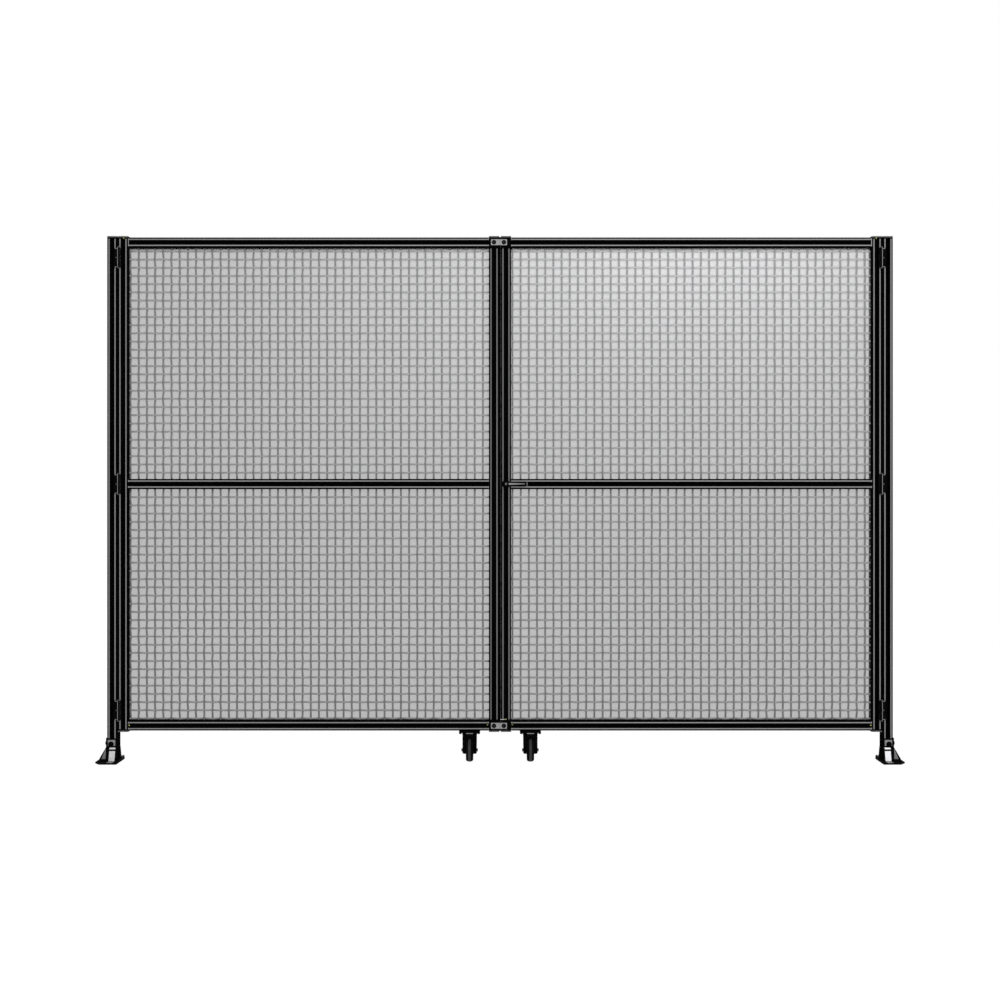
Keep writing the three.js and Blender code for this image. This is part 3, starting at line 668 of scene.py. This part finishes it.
def foot_faces(side, sign):
    """Bright machined faces on a foot's arms, painted brighter on the right foot as a highlight, and the
    bolts that hold it to the post and the floor.
    """
    faces, bolts = bmesh.new(), bmesh.new()
    for turn in (0, 90, -90):
        spin = Matrix.Rotation(math.radians(turn), 4, "Z")
        outer = turn == 0
        inward = 0 if outer else turn / 90  # which way across the arm points to the inner side
        across = (-13.6, 13.6) if outer else sorted((inward * 17.5, inward * -8))
        foot, toe = (40.6, 58) if outer else (42.8, 72)
        head = [(27.5, 70.5), (28.3, 70.5), (28.3, 96), (27.5, 96)]
        arm_plate(faces, sign, spin, head, (-16, 16), 0)
        step = [(32, 55.9), (33.2, 56.6), (29.2, 63.2), (28, 62.4)]
        arm_plate(faces, sign, spin, step, across, 1)
        slope = [(38, 7.4), (foot, 7.4), (34, 48.5), (32, 48.5)]
        arm_plate(faces, sign, spin, slope, across, 1)
        pad = [(foot + 0.2, 5.4), (toe, 5.4), (toe, 6.5), (foot + 0.2, 6.5)]
        arm_plate(faces, sign, spin, pad, across, 0)
        if outer:
            cheek = [(28.6, 10.5), (47.5, 10.5), (31.5, 50), (30.8, 55), (28.6, 55)]
            arm_plate(faces, sign, spin, cheek, (-19.5, -18.6), 0)
            arm_plate(faces, sign, spin, cheek, (18.6, 19.5), 0)
        spot = spin @ Vector((28.2, -2.5 * inward, 0))
        centre = (sign * (POST_X + spot.x), spot.y, FOOT_BOLT_Z)
        axis, way = ("x", sign) if outer else ("y", turn / 90)
        lathe(bolts, axis, centre, [(0, 0), (12, 0), (12, way * 1.8), (0, way * 1.8)], 32)
        lathe(bolts, axis, centre, [
            (0, way * 1.6), (9, way * 1.6), (9.2, way * 5), (8, way * 6.6),
            (3.4, way * 6.8), (3.2, way * 4), (0, way * 4),
        ], 32)
    for y in (-ANCHOR_SIDE, ANCHOR_SIDE):
        centre = (sign * (POST_X + ANCHOR_OUT), y, 0)
        lathe(bolts, "z", centre, [(0, 5.8), (10.5, 5.8), (10.5, 7.4), (0, 7.4)], 28)
        lathe(bolts, "z", centre, [(0, 7.2), (7.4, 7.2), (7.2, 11.5), (5.6, 12.6), (0, 12.8)], 6)
    # The right foot's faces take the painted highlight.
    pale = ZINC_PAINTED_HIGHLIGHT if side == "right" else PALE
    finish_piece(faces, f"{side}_foot_faces", "posts", [BARE_METAL_AND_HIGHLIGHT, pale], 0.1)
    finish_piece(bolts, f"{side}_foot_bolts", "posts", [BLACK])


# ---- Casters ----

def wheel_arc(radius, degrees):
    """Points round a caster's axle, as pairs of Y and Z."""
    angles = [math.radians(angle) for angle in degrees]
    return [(WHEEL_Y + radius * math.cos(a), WHEEL_Z + radius * math.sin(a)) for a in angles]


def caster_details(side, sign):
    """A caster's plate bolts and a painted highlight on its race, and the liners, hood and bridge of its
    fork.
    """
    x = sign * CASTER_X
    leaf, swivel = f"{side}_leaf", f"{side}_caster_swivel"
    work = bmesh.new()
    bolt = [(0, 123.2), (4.6, 123.2), (5.6, 124.2), (5.6, 128.8), (0, 128.8)]
    for dx in (-PLATE_BOLT_X, PLATE_BOLT_X):
        for dy in (-PLATE_BOLT_Y, PLATE_BOLT_Y):
            lathe(work, "z", (x + dx, dy, 0), bolt, 6)
    finish_piece(work, f"{side}_caster_nuts", leaf, [BLACK])
    work = bmesh.new()
    # A bright strip on the front of the race: a painted highlight.
    block(work, (x - 15, -36.5, 124.2), (x + 15, -32.5, 128.2))
    finish_piece(work, f"{side}_caster_race_highlight", leaf, [BARE_METAL_AND_HIGHLIGHT], 0.5)
    work = bmesh.new()
    liner = wheel_arc(LINER_RADIUS, range(180, 361, 15))
    liner += [(WHEEL_Y + 28, 96), (WHEEL_Y + 24, 104), (WHEEL_Y - 12, 104), (WHEEL_Y - 17, 98)]
    for way in (-1, 1):
        ends = sorted((way * LINER_OUTSIDE, way * LINER_INSIDE))
        sweep(work, [[(x + u, y, z) for y, z in liner] for u in ends])
    behind = range(28, 85, 4)
    hood = wheel_arc(HOOD_OUTSIDE, behind) + wheel_arc(HOOD_INSIDE, reversed(behind))
    sweep(work, [[(x + u, y, z) for y, z in hood] for u in (-HOOD_HALF, HOOD_HALF)])
    finish_piece(work, f"{side}_caster_guards", swivel, [BLACK], 0.4)
    work = bmesh.new()
    block(work, (x - HOOD_HALF, WHEEL_Y - 13, 102.5), (x + HOOD_HALF, 30, 111.8))
    finish_piece(work, f"{side}_caster_bridge", swivel, [BLACK], 1.2)


def caster_wheel(side, sign):
    """A wheel with a crowned tyre on a dished core, and a band round the middle of the tread painted
    lighter as a highlight.
    """
    centre = (sign * CASTER_X, WHEEL_Y, WHEEL_Z)
    work = bmesh.new()
    steps = 14
    crown = []
    for k in range(steps + 1):
        u = 2 * k / steps - 1
        crown.append((WHEEL_RADIUS - 6 * abs(u) ** 2.6, HALF_TREAD * u))
    lathe(work, "x", centre, [(38, 1 - HALF_TREAD), *crown, (38, HALF_TREAD - 1)], 64)
    # The lighter band round the middle of the tread is a painted highlight.
    lathe(work, "x", centre, [(49.1, -5.8), (50.0, -5.4), (50.0, 5.4), (49.1, 5.8)], 64, 1)
    lathe(work, "x", centre, [
        (4.4, -25.5), (12.6, -25.5), (14, -24.3), (14, -9), (20, -7.4), (34, -7.4), (38, -13), (38.4, -13),
        (38.4, 13), (38, 13), (34, 7.4), (20, 7.4), (14, 9), (14, 24.3), (12.6, 25.5), (4.4, 25.5),
    ], 48, 2)
    skins = [RUBBER, TREAD_HIGHLIGHT, MOULDED]
    wheel = finish_piece(work, f"{side}_caster_tyre", f"{side}_caster_roller", skins)
    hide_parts(f"{side}_caster_wheel")


# ---- Small fasteners ----

def rail_joints(side, sign):
    """Thin bright strips where the rails meet the stiles: a painted highlight along the joints."""
    work = bmesh.new()
    # Each strip is a painted highlight along a joint.
    for z in (TOP_RAIL_Z, MIDDLE_Z, BOTTOM_RAIL_Z):
        low, high = z - JOINT_HIGHLIGHT_REACH, z + JOINT_HIGHLIGHT_REACH
        x = sign * (STILE_X - HALF)
        x0, x1 = sorted((x, x - sign * JOINT_HIGHLIGHT_THICKNESS))
        block(work, (x0, JOINT_HIGHLIGHT_FRONT, low), (x1, JOINT_HIGHLIGHT_REAR, z - 9))
        block(work, (x0, JOINT_HIGHLIGHT_FRONT, z + 9), (x1, JOINT_HIGHLIGHT_REAR, high))
        if z == TOP_RAIL_Z:
            block(work, (x0, JOINT_HIGHLIGHT_FRONT, z - 9), (x1, JOINT_HIGHLIGHT_REAR, z + 9))
        x = sign * (MEETING_X + HALF)
        x0, x1 = sorted((x, x + sign * JOINT_HIGHLIGHT_THICKNESS))
        block(work, (x0, JOINT_HIGHLIGHT_FRONT, low), (x1, JOINT_HIGHLIGHT_REAR, z - 10))
        block(work, (x0, JOINT_HIGHLIGHT_FRONT, z + 10), (x1, JOINT_HIGHLIGHT_REAR, high))
    finish_piece(work, f"{side}_rail_joints", f"{side}_leaf", [BARE_METAL_AND_HIGHLIGHT], 0.1)


def slot_screws(side, sign):
    """Yellow screws in the slots: at both ends of the bottom rail and at the top of the hinge stile."""
    work = bmesh.new()
    screw = [(0, -20), (2.6, -20.4), (3.2, -19.6), (3.2, -14), (0, -14)]
    outer = STILE_X - HALF
    for x, z in ((54.5, BOTTOM_RAIL_Z + 4.5), (outer - 3.5, BOTTOM_RAIL_Z + 1), (STILE_X - 3, 2292)):
        lathe(work, "y", (sign * x, 0, z), screw, 18)
    finish_piece(work, f"{side}_slot_screws", f"{side}_leaf", [YELLOW])


# ---- CAD nodes that stay ----

def paint(node, material, edge):
    """Gives a CAD node's object one better material and softer edges."""
    piece = frame["nodes"][node]
    piece.data.materials.clear()
    piece.data.materials.append(material)
    soften(piece, edge)


def paint_cad_nodes():
    """Every CAD node's material, also of those that a piece replaces."""
    for node in frame["nodes"]:
        if node.endswith(("_post", "_stile", "_rail", "_mesh", "_catch_plate", "_wheel", "latch_lever")):
            paint(node, BLACK, 0.1)
        elif node.endswith("_cap"):
            paint(node, END_CAP, 0.6)
        elif node.endswith(("_pin", "_axle")):
            paint(node, DARK_STEEL, 0.3)
        elif node.endswith("_foot"):
            paint(node, BLACK, 0.7)
        else:
            paint(node, BLACK, 0.5)


# ---- Camera, lights and floor ----

def make_camera():
    """The photograph's camera: level, straight on, at about half of the object's height."""
    data = bpy.data.cameras.new("camera")
    data.sensor_width = SENSOR
    data.lens = FOCAL_PIXELS / PICTURE_PIXELS * SENSOR
    data.clip_end = 100
    camera = bpy.data.objects.new("camera", data)
    camera.location = CAMERA_PLACE
    camera.rotation_euler = (math.radians(90), 0, 0)
    bpy.context.collection.objects.link(camera)
    bpy.context.scene.camera = camera


def seen_by_eye(nodes, links):
    """1 for camera, glossy and transmission rays, 0 for the rays that light the object."""
    path = nodes.new("ShaderNodeLightPath")
    first = nodes.new("ShaderNodeMath")
    first.operation = "MAXIMUM"
    links.new(path.outputs["Is Camera Ray"], first.inputs[0])
    links.new(path.outputs["Is Glossy Ray"], first.inputs[1])
    both = nodes.new("ShaderNodeMath")
    both.operation = "MAXIMUM"
    links.new(first.outputs[0], both.inputs[0])
    links.new(path.outputs["Is Transmission Ray"], both.inputs[1])
    return both.outputs[0]


def make_world():
    """An even light that is white only where it is seen."""
    world = bpy.data.worlds.new("studio")
    bpy.context.scene.world = world
    world.use_nodes = True
    nodes, links = world.node_tree.nodes, world.node_tree.links
    plain = nodes["Background"]
    plain.inputs["Color"].default_value = (1, 1, 1, 1)
    plain.inputs["Strength"].default_value = 0.6
    white = nodes.new("ShaderNodeBackground")
    white.inputs["Color"].default_value = (1, 1, 1, 1)
    white.inputs["Strength"].default_value = 1
    mix = nodes.new("ShaderNodeMixShader")
    links.new(seen_by_eye(nodes, links), mix.inputs["Fac"])
    links.new(plain.outputs[0], mix.inputs[1])
    links.new(white.outputs[0], mix.inputs[2])
    links.new(mix.outputs[0], nodes["World Output"].inputs["Surface"])


def make_floor():
    """A pale floor that takes the object's shadow."""
    mesh = bpy.data.meshes.new("floor")
    corners = [(x * FLOOR_HALF, y * FLOOR_HALF, 0) for x, y in ((-1, -1), (1, -1), (1, 1), (-1, 1))]
    mesh.from_pydata(corners, [], [(0, 1, 2, 3)])
    floor = bpy.data.objects.new("floor", mesh)
    floor.location.z = -0.5 * MM
    bpy.context.collection.objects.link(floor)
    material = bpy.data.materials.new("pale_floor")
    material.use_nodes = True
    nodes, links = material.node_tree.nodes, material.node_tree.links
    nodes.remove(nodes["Principled BSDF"])
    matt = nodes.new("ShaderNodeBsdfDiffuse")
    matt.inputs["Color"].default_value = (0.9, 0.9, 0.9, 1)
    glow = nodes.new("ShaderNodeEmission")
    glow.inputs["Color"].default_value = (1, 1, 1, 1)
    glow.inputs["Strength"].default_value = 1.06
    scaled = nodes.new("ShaderNodeMath")
    scaled.operation = "MULTIPLY"
    scaled.inputs[1].default_value = 0.9
    links.new(seen_by_eye(nodes, links), scaled.inputs[0])
    mix = nodes.new("ShaderNodeMixShader")
    links.new(scaled.outputs[0], mix.inputs["Fac"])
    links.new(matt.outputs[0], mix.inputs[1])
    links.new(glow.outputs[0], mix.inputs[2])
    links.new(mix.outputs[0], nodes["Material Output"].inputs["Surface"])
    mesh.materials.append(material)


def make_lamp(name, place, size, power):
    """A square soft lamp."""
    data = bpy.data.lights.new(name, "AREA")
    data.shape = "SQUARE"
    data.size = size
    data.energy = power
    lamp = bpy.data.objects.new(name, data)
    lamp.location = place
    lamp.rotation_euler = (Vector(LIT_PLACE) - Vector(place)).to_track_quat("-Z", "Y").to_euler()
    bpy.context.collection.objects.link(lamp)


make_camera()
make_world()
make_floor()
make_lamp("key", (2.4, -6.2, 4.6), 4.0, 240)
make_lamp("back", (-3.5, 6.0, 5.0), 4.0, 180)

paint_cad_nodes()
for side, sign in SIDES:
    profile_bar(f"{side}_post", True, HIGHLIGHT_LAND_UP)
    profile_bar(f"{side}_hinge_stile", True, HIGHLIGHT_LAND_UP)
    profile_bar(f"{side}_meeting_stile", True, HIGHLIGHT_LAND_DIM)
    for rail in ("top_rail", "mid_rail", "bottom_rail"):
        profile_bar(f"{side}_{rail}", False, HIGHLIGHT_LAND_ACROSS)
    for level, seed in (("upper", 11), ("lower", 37)):
        woven_panel(side, level, seed + sign)
        film_panel(side, level)
    catch_plate(side, sign, "top", TOP_RAIL_Z)
    catch_plate(side, sign, "bottom", BOTTOM_RAIL_Z)
    hinge_details(side, sign)
    foot_faces(side, sign)
    caster_details(side, sign)
    caster_wheel(side, sign)
    rail_joints(side, sign)
    slot_screws(side, sign)
meeting_seal()
stop_strip()
latch_lever()

bpy.context.scene.view_settings.view_transform = "Standard"
